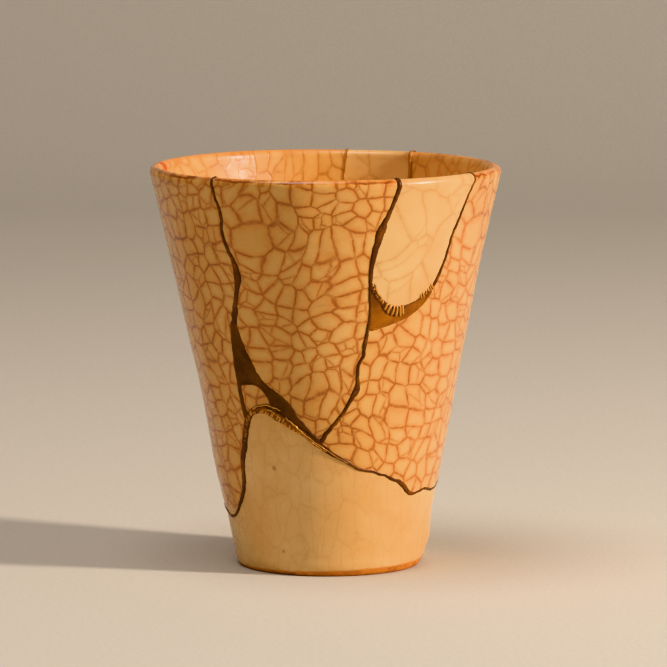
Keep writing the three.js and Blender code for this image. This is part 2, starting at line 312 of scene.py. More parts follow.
def wholeCup():
    runs = [0.0]
    underside = [sectionRun[i] for i in (1, 3, bevelStart)]
    for mark in underside + [sectionRun[floorEnd], sectionRun[-1]]:
        step = cupForm["undersideStep"] if mark in underside else cupForm["ringStep"]
        count = max(1, round((mark - runs[-1]) / step))
        runs += list(np.linspace(runs[-1], mark, count + 1)[1:])
    steps = cupForm["stepsRound"]
    ringRuns = runs[1:-1]
    angles = np.linspace(-180, 180, steps, endpoint=False)
    points = skin(np.tile(angles, len(ringRuns)), np.repeat(ringRuns, steps))
    points = np.concatenate([skin([0.0], [0.0]), points, skin([0.0], [runs[-1]])]) * mm
    faces = []
    for ring in range(len(ringRuns) - 1):
        low = 1 + ring * steps
        high = low + steps
        faces += [(low + i, low + (i + 1) % steps, high + (i + 1) % steps, high + i) for i in range(steps)]
    last = len(points) - 1
    top = 1 + (len(ringRuns) - 1) * steps
    faces += [(0, 1 + (i + 1) % steps, 1 + i) for i in range(steps)]
    faces += [(last, top + i, top + (i + 1) % steps) for i in range(steps)]
    return newMesh("wholeCup", points.tolist(), faces)


# A thin blade along a break, from inside the cup to outside it
def blade(name):
    line, closed = ragged[name]
    if not closed:
        beyond = []
        for end, inward in ((line[0], line[1]), (line[-1], line[-2])):
            if end[1] >= rim - breakStyle["nearRim"]:
                beyond.append(end + np.array([0, breakStyle["overRim"], 0]))
            else:
                beyond.append(end - (inward - end) * breakStyle["pastEnd"])
        line = np.concatenate([[beyond[0]], line, [beyond[1]]])
    angle, z = line[:, 0], line[:, 1]
    radius = flankRadius(z)
    along = stepsAlong(angle, z, radius, closed)
    half = breakStyle["gap"] / 2
    deep = radius - cupForm["wall"] - breakStyle["reachPastWall"]
    high = radius + breakStyle["reachPastWall"]
    points = []
    for i in range(len(line)):
        for side in (half, -half):
            turned = math.radians(angle[i]) - along[i, 1] * side / radius[i]
            height = z[i] + along[i, 0] * side
            for reach in (deep[i], high[i]):
                points.append((reach * math.sin(turned) + leanAt(z[i]), -reach * math.cos(turned), height))
    faces = []
    count = len(line)
    for i in range(count if closed else count - 1):
        p, q = 4 * i, 4 * ((i + 1) % count)
        faces += [(p, q, q + 1, p + 1), (p + 1, q + 1, q + 3, p + 3)]
        faces += [(p + 3, q + 3, q + 2, p + 2), (p + 2, q + 2, q, p)]
    if not closed:
        e = 4 * (count - 1)
        faces += [(0, 1, 3, 2), (e, e + 2, e + 3, e + 1)]
    return newMesh("blade" + name, (np.array(points) * mm).tolist(), [face[::-1] for face in faces])


def breakTheCup():
    whole = wholeCup()
    blades = [blade(name) for name in breaks]
    for cutter in blades:
        cut = whole.modifiers.new("cut", "BOOLEAN")
        cut.solver = "MANIFOLD"
        cut.operation = "DIFFERENCE"
        cut.object = cutter
    broken = bpy.data.meshes.new_from_object(whole.evaluated_get(bpy.context.evaluated_depsgraph_get()))
    whole.modifiers.clear()
    whole.data = broken
    for cutter in blades:
        bpy.data.objects.remove(cutter)
    bpy.ops.object.select_all(action="DESELECT")
    bpy.context.view_layer.objects.active = whole
    whole.select_set(True)
    bpy.ops.object.mode_set(mode="EDIT")
    bpy.ops.mesh.select_all(action="SELECT")
    bpy.ops.mesh.separate(type="LOOSE")
    bpy.ops.object.mode_set(mode="OBJECT")
    return [o for o in bpy.context.selected_objects if o.type == "MESH"]


def cornersOf(piece):
    corners = np.empty(3 * len(piece.data.vertices))
    piece.data.vertices.foreach_get("co", corners)
    return corners.reshape(-1, 3)


rimGrowth = cupForm["rimRadius"] - cupForm["footRadius"]
slant = rimGrowth / math.hypot(lipBase, rimGrowth)
insideMap = {"scale": 0.95, "shift": (410, 170)}


# Where an angle and a height lie when the cone of the flank is rolled out flat, in mm
def flatPlace(angle, z):
    reach = cupForm["footRadius"] / slant + (outerRun(z) - sectionRun[bevelStart])
    turn = np.radians(angle) * slant
    return reach * np.sin(turn), reach * np.cos(turn)


# The crackle's map is the flank rolled out, so that it isn't stretched. The inside lies beside it.
def rollOut(piece, middle, finer):
    corners = cornersOf(piece) / mm
    lean = leanAt(corners[:, 2])
    angle = np.degrees(np.arctan2(corners[:, 0] - lean, -corners[:, 1]))
    angle = (angle - middle + 180) % 360 - 180
    radius = np.hypot(corners[:, 0] - lean, corners[:, 1])
    inside = radius < flankRadius(corners[:, 2]) - cupForm["wall"] / 2
    flat = np.stack(flatPlace(angle, np.clip(corners[:, 2], 0, lipBase)), 1) * finer
    flat[inside] = flat[inside] * insideMap["scale"] + insideMap["shift"]
    layer = piece.data.uv_layers.new(name="rolledOut")
    loops = np.empty(len(piece.data.loops), int)
    piece.data.loops.foreach_get("vertex_index", loops)
    layer.data.foreach_set("uv", flat[loops].ravel())


# A spot on each piece's outside, how far it stands proud of its neighbours, and its finish. The crackle's map
# has its middle at the spot's angle or at "middle", and "finer" packs it across and upwards.
sherds = {
    "foot_sherd": {"spot": (0, 12), "proud": 0, "finish": "plainGlaze", "finer": (2.6, 1.0)},
    "left_sherd": {"spot": (-90, 51), "proud": 0.12, "finish": "crazedGlaze", "middle": -112},
    "front_sherd": {"spot": (-10, 60), "proud": 0.05, "finish": "crazedGlaze"},
    "right_sherd": {"spot": (80, 42), "proud": 0.2, "finish": "crazedGlaze"},
    "small_chip": {"spot": (-33, 38.3), "proud": -0.05, "finish": "crazedGlaze"},
    "rim_tongue": {"spot": (37, 72), "proud": 0.1, "finish": "plainGlaze"},
    "back_tongue": {"spot": (160, 68), "proud": 0.05, "finish": "plainGlaze"},
    # The left fill's finish is the putty painted darker, as painted shade for the left of the cup.
    "left_putty_fill": {"spot": (-38, 46.5), "proud": 0.08, "finish": "puttyInShade"},
    "rim_putty_fill": {"spot": (20, 56.5), "proud": 0.1, "finish": "puttyGold"},
}
sharpEdge = math.radians(42)

loose = breakTheCup()
print("broken into", len(loose), "loose pieces")
pieces = {}
for name, sherd in sherds.items():
    target = skin([float(sherd["spot"][0])], outerRun([float(sherd["spot"][1])]))[0] * mm
    found = min(loose, key=lambda o: np.linalg.norm(cornersOf(o) - target, axis=1).min())
    loose.remove(found)
    found.name = found.data.name = name
    rollOut(found, sherd.get("middle", sherd["spot"][0]), sherd.get("finer", (1, 1)))
    corners = cornersOf(found)
    away = np.stack([corners[:, 0] - leanAt(corners[:, 2] / mm) * mm, corners[:, 1]], 1)
    away /= np.maximum(np.linalg.norm(away, axis=1), 1e-6)[:, None]
    corners[:, :2] += away * sherd["proud"] * mm
    found.data.vertices.foreach_set("co", corners.ravel())
    found.data.shade_smooth()
    found.data.set_sharp_from_angle(angle=sharpEdge)
    found.data.update()
    pieces[name] = found
for scrap in loose:
    bpy.data.objects.remove(scrap)
print("sherds:", {name: len(o.data.polygons) for name, o in pieces.items()})

# Lacquer lines laid over the breaks, inside, outside and over the lip, and lumps from one place to another
lacquer = {
    "rise": 0.27, "sunk": 0.25, "ribs": 8, "widthWaver": 0.16, "edgeWaver": 0.1, "riseWaver": 0.25,
    "roundEnd": 0.9, "lumpEnd": 0.35, "usualWidth": 0.8, "innerWidth": 0.8, "lipSteps": 12,
    "sharp": math.radians(60), "sunkEdge": 0.06, "sunkAt": 0.9,
    "lumps": [
        ((-37.1, 58.2), (-39.5, 53), 1.6), ((15.9, 51.6), (16.7, 55), 0.85),
        ((17.7, 73.9), (20.9, 74.5), 1.3), ((11.7, 40.9), (14.3, 41.1), 1.5),
        ((-35.8, 64.6), (-33.2, 64.9), 2.2),
    ],
}


# A rounded bead along angle, run and width. Its map runs from 0 to 1 across and in mm along.
def beadAlong(angle, run, width, seed, closed=False, rise=lacquer["rise"], roundEnd=lacquer["roundEnd"]):
    count = len(angle)
    overAngle, overRun = acrossLine(angle, run, closed)
    turned = np.radians(np.diff(angle)) * np.interp(run[1:], sectionRun, section[:, 0])
    steps = np.concatenate([[0], np.cumsum(np.hypot(turned, np.diff(run)))])

    def unevenHalf(widthSeed, edgeSeed):
        wide = width / 2 * (1 + lacquer["widthWaver"] * waver(steps, widthSeed, 0.9))
        return wide + lacquer["edgeWaver"] * waver(steps, edgeSeed, 2.1)

    left, right = unevenHalf(seed, seed + 11), unevenHalf(seed + 5, seed + 17)
    height = rise * np.clip(width / lacquer["usualWidth"], 0.6, 1.15)
    height = height * (1 + lacquer["riseWaver"] * waver(steps, seed + 23, 0.7))
    if not closed:
        taper = np.sqrt(np.clip(np.minimum(steps, steps[-1] - steps) / roundEnd, 0.04, 1))
        left, right, height = left * taper, right * taper, height * taper
    across = np.linspace(-1, 1, lacquer["ribs"] + 1)
    rounding = (1 - np.abs(across) ** 2.4) ** 0.75
    lifts = [height * up - lacquer["sunkEdge"] * (1 - up) for up in rounding]
    lifts += [np.full(count, -lacquer["sunk"])] * 2
    rows = []
    for x, lift in zip([*across, lacquer["sunkAt"], -lacquer["sunkAt"]], lifts):
        side = np.where(x < 0, -x * left, -x * right)
        rows.append(skin(angle + overAngle * side, run + overRun * side, lift))
    points = np.stack(rows, 1).reshape(-1, 3) * mm
    around = len(rows)
    mapAcross = list((across + 1) / 2) + [1.0, 0.0]
    faces, maps = [], []
    for i in range(count if closed else count - 1):
        j = (i + 1) % count
        ahead = steps[i + 1] if i + 1 < count else steps[-1] + lacquer["rise"]
        for k in range(around):
            m = (k + 1) % around
            faces.append((i * around + k, i * around + m, j * around + m, j * around + k))
            one, other = mapAcross[k], mapAcross[m]
            maps += [(one, steps[i]), (other, steps[i]), (other, ahead), (one, ahead)]
    if not closed:
        faces.append(tuple(range(around))[::-1])
        faces.append(tuple((count - 1) * around + k for k in range(around)))
        maps += [(0.5, 0)] * around + [(0.5, steps[-1])] * around
    return points.tolist(), faces, maps


def joinBeads(name, beads):
    points, faces, maps = [], [], []
    for beadPoints, beadFaces, beadMaps in beads:
        start = len(points)
        points += beadPoints
        faces += [tuple(start + i for i in face) for face in beadFaces]
        maps += beadMaps
    made = newMesh(name, points, faces)
    layer = made.data.uv_layers.new(name="bead")
    layer.data.foreach_set("uv", np.array(maps).ravel())
    made.data.shade_smooth()
    made.data.set_sharp_from_angle(angle=lacquer["sharp"])
    return made


def lumpBeads():
    beads = []
    for seed, (start, end, width) in enumerate(lacquer["lumps"]):
        angle, z = np.linspace(start, end, 8).T
        widths = np.full(len(z), width)
        beads.append(beadAlong(angle, outerRun(z), widths, 300 + seed, roundEnd=lacquer["lumpEnd"]))
    return beads


# The beads of one finish: a pair outside and inside, or one that runs over the lip
def seamBeads(finish):
    beads = []
    for seed, name in enumerate(breaks):
        if fillEdges.get(name, "lacquerGold") != finish:
            continue
        line, closed = ragged[name]
        angle, z, width = line[:, 0], np.minimum(line[:, 1], lipBase), line[:, 2]
        highEnough = rim - breakStyle["nearRim"]
        if closed or max(line[0, 1], line[-1, 1]) < highEnough:
            beads.append(beadAlong(angle, outerRun(z), width, seed, closed))
            beads.append(beadAlong(angle, innerRun(z), width * lacquer["innerWidth"], seed + 60, closed))
            continue
        if line[-1, 1] >= highEnough:
            angle, z, width = angle[::-1], z[::-1], width[::-1]
        keep = z < lipBase
        angle, z, width = angle[keep], z[keep], width[keep]
        steps = lacquer["lipSteps"]
        overLip = np.linspace(float(outerRun(lipBase)), float(innerRun(lipBase)), steps)
        turns = np.concatenate([angle[::-1], np.full(steps, angle[0]), angle])
        runs = np.concatenate([outerRun(z)[::-1], overLip, innerRun(z)])
        inner = faintInside.get(name, 0.9)
        narrowing = np.linspace(width[0], width[0] * inner, steps)
        beads.append(beadAlong(turns, runs, np.concatenate([width[::-1], narrowing, width * inner]), seed))
    return beads


# Where the lacquer shrank it wrinkled: rows of short ridges from a root line to a tip line, and long creases
wrinkles = {
    "ridgeWidth": 0.46, "ridgeRise": 0.55, "ridgeEnd": 0.25,
    "creaseWidth": 0.44, "creaseRise": 0.62, "creaseEnd": 0.5, "creaseStep": 0.25, "creaseSway": 0.16,
    "rows": [  # root line, tip line, how many ridges, how uneven their lengths
        {"root": [(23.2, 59.3), (25.2, 58.7), (27.1, 58.4), (28.9, 58.3), (30.9, 58.6)],
         "tip": [(22.2, 57.7), (24, 56.4), (26.6, 55.7), (29.6, 55.6), (32.1, 56.5)],
         "count": 6, "uneven": 0.08, "wide": 1.6},
        {"root": [(37.3, 60.4), (39.3, 61), (41, 61.7), (42.5, 62.5)],
         "tip": [(38.9, 58.9), (40.7, 59.5), (43.1, 60.1), (44.5, 61.3)],
         "count": 6, "uneven": 0.3},
        {"root": [(17.2, 64.2), (17.6, 62.4), (19.1, 61), (20.8, 60), (22.2, 59.4)],
         "tip": [(16.3, 63.7), (16.7, 61.9), (18.3, 60.4), (20.1, 59.1), (21.6, 58.4)],
         "count": 9, "uneven": 0.4},
        {"root": [(-42.9, 28.4), (-41.2, 30.6), (-39.3, 32.9), (-37.2, 34.3), (-34.2, 34.9)],
         "tip": [(-44, 29), (-42.3, 31.3), (-40.4, 33.9), (-38.1, 35.4), (-34.4, 36.5)],
         "count": 13, "uneven": 0.6},
        {"root": [(-33.2, 35), (-30.9, 35.1), (-27.4, 34.6), (-23.5, 33.6), (-19.8, 32.5),
                  (-16.6, 31.7), (-13, 30.6)],
         "tip": [(-32.8, 36), (-29.6, 36.3), (-25.6, 36), (-21.4, 35.1), (-18.4, 34.1),
                 (-15.4, 32.9), (-12, 31.3)],
         "count": 25, "uneven": 0.7},
    ],
    "creases": [
        [(-36.5, 35.6), (-33.2, 36.5), (-29, 36.9), (-25.2, 36.6), (-21.6, 35.9)],
        [(-30.5, 35.9), (-27.2, 35.9), (-23.8, 35), (-21.4, 34.2)],
        [(-19.8, 34.7), (-17.7, 33.8), (-15, 32.7), (-11.8, 31.4), (-7.7, 29.9), (-3, 28.4),
         (0.8, 27.2), (4.2, 26.2), (7.9, 25.3), (10.7, 24.8)],
        [(-14.2, 31.9), (-11, 30.7), (-7.5, 29.4), (-4, 28.2), (-0.5, 27.2)],
        [(18.1, 63.4), (18.6, 62), (20.2, 60.6), (22, 59.6)],
    ],
}


def alongLine(points, share):
    place = share * (len(points) - 1)
    start = min(int(place), len(points) - 2)
    return np.array(points[start]) + (np.array(points[start + 1]) - np.array(points[start])) * (place - start)


def wrinkleBeads():
    beads = []
    chance = random.Random(7)
    s = np.linspace(0, 1, 8)
    for number, row in enumerate(wrinkles["rows"]):
        for k in range(row["count"]):
            share = np.clip((k + 0.5 + chance.uniform(-0.18, 0.18)) / row["count"], 0, 1)
            root = alongLine(row["root"], share)
            tip = alongLine(row["tip"], np.clip(share + chance.uniform(-0.02, 0.02), 0, 1))
            tip = root + (tip - root) * (1 - row["uneven"] * chance.random())
            line = root + (tip - root) * s[:, None]
            line[:, 0] += chance.uniform(-0.25, 0.25) * np.sin(np.pi * s) * 2.0
            width = wrinkles["ridgeWidth"] * (0.85 + 0.35 * np.sin(np.pi * s * 0.9 + 0.2))
            width = width * chance.uniform(0.85, 1.15) * row.get("wide", 1.0)
            beads.append(beadAlong(line[:, 0], outerRun(line[:, 1]), width, 100 + 10 * number + k,
                                   rise=wrinkles["ridgeRise"], roundEnd=wrinkles["ridgeEnd"]))
    for number, crease in enumerate(wrinkles["creases"]):
        line = smoothRoute(crease, wrinkles["creaseStep"])
        stations = range(len(line))
        angle, run = line[:, 0], outerRun(line[:, 1])
        sway = wrinkles["creaseSway"] * waver(stations, 200 + number, 0.33)
        overAngle, overRun = acrossLine(angle, run)
        width = wrinkles["creaseWidth"] * (1 + 0.3 * waver(stations, 220 + number, 0.4))
        beads.append(beadAlong(angle + sway * overAngle, run + sway * overRun, width, 240 + number,
                               rise=wrinkles["creaseRise"], roundEnd=wrinkles["creaseEnd"]))
    return beads


beadPieces = {  # finish and beads
    "lacquer_seams": ("lacquerGold", seamBeads("lacquerGold") + lumpBeads()),
    "lacquer_gold_edge": ("puttyGold", seamBeads("puttyGold")),
    # The beads on the left fills' edges use the darker putty: painted shade for the left of the cup.
    "lacquer_shaded_putty_edge": ("puttyInShade", seamBeads("puttyInShade")),
    "lacquer_wrinkles": ("wrinkleGold", wrinkleBeads()),
}
for name, (finish, beads) in beadPieces.items():
    pieces[name] = joinBeads(name, beads)
print("lacquer:", sum(len(pieces[name].data.polygons) for name in beadPieces), "faces")


# Shader helpers. A value is a number, a colour or a socket, and "tree" the node tree that it's for.
def put(tree, kind, **settings):
    node = tree.nodes.new("ShaderNode" + kind)
    for key, value in settings.items():
        setattr(node, key, value)
    return node


def feed(tree, socket, value):
    if isinstance(value, bpy.types.NodeSocket):
        tree.links.new(value, socket)
    else:
        socket.default_value = value


def feedAll(tree, sockets, values):
    for label, value in values.items():
        feed(tree, sockets[label], value)


def sums(tree, operation, *values):
    node = put(tree, "Math", operation=operation)
    for socket, value in zip(node.inputs, values):
        feed(tree, socket, value)
    return node.outputs[0]


def times(tree, first, *others):
    for other in others:
        first = sums(tree, "MULTIPLY", first, other)
    return first


# One less a mask
def without(tree, mask):
    return sums(tree, "SUBTRACT", 1.0, mask)


# A noise value as a swing to both sides
def swing(tree, value, reach):
    return times(tree, sums(tree, "SUBTRACT", value, 0.5), reach)


def vectorSums(tree, operation, first, second=None):
    node = put(tree, "VectorMath", operation=operation)
    feed(tree, node.inputs[0], first)
    if second is not None:
        feed(tree, node.inputs["Scale"] if operation == "SCALE" else node.inputs[1], second)
    return node.outputs["Value"] if operation in ("LENGTH", "DISTANCE") else node.outputs[0]


def ramp(tree, value, low, high, outLow=0.0, outHigh=1.0, kind="SMOOTHSTEP"):
    node = put(tree, "MapRange", interpolation_type=kind)
    for socket, number in zip(node.inputs, (value, low, high, outLow, outHigh)):
        feed(tree, socket, number)
    return node.outputs["Result"]


# A straight ramp between two values by a mask
def between(tree, mask, outLow, outHigh):
    return ramp(tree, mask, 0, 1, outLow, outHigh, "LINEAR")


# A colour with another over it where all the masks allow it
def paint(tree, colour, over, *masks):
    node = put(tree, "Mix", data_type="RGBA")
    feed(tree, node.inputs["Factor"], times(tree, *masks))
    feed(tree, node.inputs[6], colour)
    feed(tree, node.inputs[7], over)
    return node.outputs[2]


def cloud(tree, vector, scale, detail=2.0, rough=0.5, output=0):
    node = put(tree, "TexNoise")
    feedAll(tree, node.inputs, {"Vector": vector, "Scale": scale, "Detail": detail, "Roughness": rough})
    return node.outputs[output]


def split(tree, kind, value):
    node = put(tree, "Separate" + kind)
    feed(tree, node.inputs[0], value)
    return node.outputs


def newGroup(name, vectors, numbers, outputs):
    group = bpy.data.node_groups.new(name, "ShaderNodeTree")
    face = group.interface
    for label in vectors:
        face.new_socket(label, in_out="INPUT", socket_type="NodeSocketVector")
    for label, value in numbers.items():
        face.new_socket(label, in_out="INPUT", socket_type="NodeSocketFloat").default_value = value
    for label in outputs:
        face.new_socket(label, in_out="OUTPUT", socket_type="NodeSocketFloat")
    return group, group.nodes.new("NodeGroupInput").outputs, group.nodes.new("NodeGroupOutput").inputs


def useGroup(tree, group, **values):
    node = put(tree, "Group", node_tree=group)
    feedAll(tree, node.inputs, values)
    return node.outputs


def srgb(red, green, blue):
    def straight(v):
        v /= 255
        return v / 12.92 if v <= 0.04045 else ((v + 0.055) / 1.055) ** 2.4
    return (straight(red), straight(green), straight(blue), 1)


crackleForm = {
    "bends": ((0.06, 7.0), (0.16, 2.2), (0.9, 0.28)),  # scale of the noise and how far it pushes, in mm
    "plateRandom": 0.72, "cellRandom": 0.9, "turn": 6.283, "jump": 173.0, "lineSoft": 0.32, "haloSoft": 1.25,
    "thicker": 0.14, "faintest": 0.52, "finerSoft": 0.8, "finerShare": 0.75,
    "wide": [  # places on the front sherd where it is wide: angle, height, how much wider, reach
        (-24, 73, 0.68, 9.0), (1, 69, 0.45, 6.5), (-6, 40, 0.4, 5.0),
    ],
    "again": (0.5, 0.52),  # a plate whose random number is above these cracked again
}


# Crackle in two generations: cells that are almost square, and finer cracks across some of them
def makeCrackle():
    form = crackleForm
    tree, given, out = newGroup(
        "crackle", ["Vector"],
        {"PlateSize": 10, "CellSize": 4, "PlateLine": 0.3, "CellLine": 0.2, "Bend": 1},
        ["Line", "Halo", "CellTone", "Height"])
    place = given["Vector"]
    middle = sherds["front_sherd"]["spot"][0]
    for angle, z, grow, reach in form["wide"]:
        away = vectorSums(tree, "SUBTRACT", place, (*flatPlace(angle - middle, z), 0))
        share = sums(tree, "POWER", sums(tree, "DIVIDE", vectorSums(tree, "LENGTH", away), reach), 2)
        amount = times(tree, sums(tree, "EXPONENT", times(tree, share, -1)), -grow)
        place = vectorSums(tree, "ADD", place, vectorSums(tree, "SCALE", away, amount))
    for scale, push in form["bends"]:
        bend = cloud(tree, given["Vector"], scale, 0.0, output="Color")
        pushed = vectorSums(tree, "SUBTRACT", bend, (0.5, 0.5, 0.5))
        pushed = vectorSums(tree, "SCALE", pushed, times(tree, given["Bend"], push))
        place = vectorSums(tree, "ADD", place, pushed)

    def cells(feature, vector, size, randomness):
        node = put(tree, "TexVoronoi", voronoi_dimensions="2D", feature=feature)
        scale = sums(tree, "DIVIDE", 1.0, size)
        feedAll(tree, node.inputs, {"Vector": vector, "Scale": scale, "Randomness": randomness})
        return node.outputs

    def toEdge(vector, size, randomness):
        return times(tree, cells("DISTANCE_TO_EDGE", vector, size, randomness)["Distance"], size)

    plateEdge = toEdge(place, given["PlateSize"], form["plateRandom"])
    plateColour = cells("F1", place, given["PlateSize"], form["plateRandom"])["Color"]
    plate = split(tree, "Color", plateColour)
    turned = put(tree, "VectorRotate", rotation_type="Z_AXIS")
    feedAll(tree, turned.inputs, {"Vector": place, "Angle": times(tree, plate[0], form["turn"])})
    jump = vectorSums(tree, "SCALE", plateColour, form["jump"])
    cellPlace = vectorSums(tree, "ADD", turned.outputs[0], jump)
    cellEdge = toEdge(cellPlace, given["CellSize"], form["cellRandom"])
    again = ramp(tree, plate[1], *form["again"])
    thick = ramp(tree, cloud(tree, given["Vector"], 0.3), 0.3, 0.7, 0.0, form["thicker"])
    fade = ramp(tree, cloud(tree, given["Vector"], 0.5), 0.28, 0.6, form["faintest"], 1.0)

    def line(edge, width, soft):
        over = sums(tree, "SUBTRACT", edge, times(tree, sums(tree, "ADD", width, thick), 0.5))
        return without(tree, ramp(tree, over, 0.0, soft))

    def allLines(soft):
        first = line(plateEdge, given["PlateLine"], soft)
        second = line(cellEdge, given["CellLine"], soft * form["finerSoft"])
        second = times(tree, second, times(tree, again, form["finerShare"]))
        return times(tree, sums(tree, "MAXIMUM", first, second), fade)

    both = allLines(form["lineSoft"])
    halo = allLines(form["haloSoft"])
    deep = sums(tree, "ADD", both, times(tree, halo, 0.6))
    height = times(tree, deep, -1)
    feedAll(tree, out, {"Line": both, "Halo": halo, "CellTone": plate[2], "Height": height})
    return tree


# Slow drift of glaze thickness, brush-like waves and pinholes
def makeGlazeDrift():
    tree, given, out = newGroup("glazeDrift", ["Vector"], {}, ["Drift", "Pinhole", "Roughness", "Height"])
    wide = cloud(tree, given["Vector"], 55, 3.0, 0.55)
    fine = cloud(tree, given["Vector"], 420, 3.0, 0.6)
    spots = put(tree, "TexVoronoi", voronoi_dimensions="3D", feature="F1")
    feedAll(tree, spots.inputs, {"Vector": given["Vector"], "Scale": 230})
    near = without(tree, ramp(tree, spots.outputs["Distance"], 0.06, 0.13))
    rare = ramp(tree, split(tree, "Color", spots.outputs["Color"])[0], 0.93, 0.95)
    hole = times(tree, near, rare)
    lumps = sums(tree, "ADD", wide, times(tree, fine, 0.06))
    feedAll(tree, out, {
        "Drift": ramp(tree, wide, 0.3, 0.7), "Pinhole": hole, "Roughness": ramp(tree, fine, 0.3, 0.7),
        "Height": sums(tree, "SUBTRACT", lumps, times(tree, hole, 0.2))})
    return tree


# Height bands of the cup: the lip where the glaze ran thin, the line under it, and the bare foot. In metres,
# but for "inward", the mm from the flank inwards that count as outside.
wornBands = {
    "lipHeight": 0.0845, "footHeight": 0.0012, "footLean": 0.03, "shake": 0.0012,
    "inward": 1.7, "halfLip": 0.0004, "halfFoot": 0.0003,
}


def makeWornEdges():
    bands = wornBands
    outputs = ["Lip", "UnderLip", "BareFoot", "Mottle", "Outside"]
    tree, given, out = newGroup("wornEdges", ["Vector"], {}, outputs)
    place = given["Vector"]
    x, y, z = split(tree, "XYZ", place)
    uneven = cloud(tree, place, 420, 3.0, 0.6)
    shake = swing(tree, uneven, bands["shake"])
    drift = swing(tree, cloud(tree, place, 90), bands["shake"])
    level = sums(tree, "ADD", sums(tree, "ADD", z, shake), drift)
    level = sums(tree, "SUBTRACT", level, bands["lipHeight"])
    distance = vectorSums(tree, "LENGTH", vectorSums(tree, "MULTIPLY", place, (1, 1, 0)))
    skinRadius = (cupForm["footRadius"] - bands["inward"]) * mm
    skinRadius = sums(tree, "MULTIPLY_ADD", z, rimGrowth / lipBase, skinRadius)
    outside = ramp(tree, sums(tree, "SUBTRACT", distance, skinRadius), -0.0002, 0.0003)
    under = without(tree, ramp(tree, sums(tree, "ABSOLUTE", level), 0.0001, 0.00038))
    broken = ramp(tree, cloud(tree, place, 150), 0.4, 0.58, 0.25, 1.0)
    reach = sums(tree, "MULTIPLY_ADD", x, bands["footLean"], bands["footHeight"])
    foot = sums(tree, "SUBTRACT", sums(tree, "ADD", z, times(tree, shake, 0.8)), reach)
    feedAll(tree, out, {
        "Outside": outside, "Lip": ramp(tree, level, -bands["halfLip"], bands["halfLip"]),
        "UnderLip": times(tree, under, broken, outside), "Mottle": ramp(tree, uneven, 0.35, 0.65),
        "BareFoot": without(tree, ramp(tree, foot, -bands["halfFoot"], bands["halfFoot"]))})
    return tree


# A soft-edged spot at a place on the cup, such as a rust speck
def makeStain():
    tree, given, out = newGroup("stain", ["Vector", "Centre"], {"Radius": 0.001}, ["Mask"])
    apart = vectorSums(tree, "DISTANCE", given["Vector"], given["Centre"])
    share = sums(tree, "DIVIDE", apart, given["Radius"])
    share = sums(tree, "ADD", share, swing(tree, cloud(tree, given["Vector"], 500), 0.9))
    feed(tree, out["Mask"], without(tree, ramp(tree, share, 0.5, 1.1)))
    return tree


# How far a point of a bead lies from its middle, 0 to 1, made ragged by patches of the brush
def makeBeadEdge():
    tree, given, out = newGroup("beadEdge", ["Bead", "Place"], {"Ragged": 0.7}, ["Edge", "Patch", "Slow"])
    side = sums(tree, "SUBTRACT", split(tree, "XYZ", given["Bead"])[0], 0.5)
    middle = times(tree, sums(tree, "ABSOLUTE", side), 2)
    patchy = cloud(tree, given["Place"], 900, 3.0, 0.65)
    rough = sums(tree, "ADD", middle, swing(tree, patchy, given["Ragged"]))
    feedAll(tree, out, {
        "Edge": ramp(tree, rough, 0.4, 0.85), "Patch": patchy, "Slow": cloud(tree, given["Place"], 150)})
    return tree


crackle = makeCrackle()
glazeDrift = makeGlazeDrift()
wornEdges = makeWornEdges()
stain = makeStain()
beadEdge = makeBeadEdge()


def startMaterial(name):
    material = bpy.data.materials.new(name)
    material.use_nodes = True
    tree = material.node_tree
    tree.nodes.clear()
    surface = put(tree, "BsdfPrincipled")
    output = put(tree, "OutputMaterial")
    tree.links.new(surface.outputs[0], output.inputs[0])
    return material, tree, surface.inputs, put(tree, "TexCoord").outputs["Object"]


def bumpInto(tree, surface, height, strength, distance):
    bump = put(tree, "Bump")
    feedAll(tree, bump.inputs, {"Height": height, "Strength": strength, "Distance": distance})
    feed(tree, surface["Normal"], bump.outputs[0])


def stainAt(tree, place, spot):
    centre = [value * mm for value in spot["centre"]]
    return useGroup(tree, stain, Vector=place, Centre=centre, Radius=spot["radius"] * mm)["Mask"]


# Crackle, drift and worn edges for a glaze
def glazeMasks(tree, place, look):
    flat = put(tree, "UVMap", uv_map="rolledOut").outputs[0]
    craze = useGroup(tree, crackle, Vector=flat, **look["crackle"])
    return craze, useGroup(tree, glazeDrift, Vector=place), useGroup(tree, wornEdges, Vector=place)


crazedLook = {
    "glaze": srgb(243, 192, 122), "deepGlaze": srgb(232, 170, 98), "halo": srgb(228, 147, 76),
    "line": srgb(178, 90, 36), "darkLine": srgb(132, 56, 24), "lip": srgb(234, 146, 72),
    "underLip": srgb(140, 56, 20), "haloShare": 0.8, "lineShare": 0.72, "inside": 0.5,
    "crackle": {"PlateSize": 3.8, "CellSize": 5.2, "PlateLine": 0.07, "CellLine": 0}, "coatRoughness": 0.16,
    "lipSpot": {"centre": (-34.2, 5.6, 84.1), "radius": 2.1, "colour": srgb(210, 90, 30)},
}


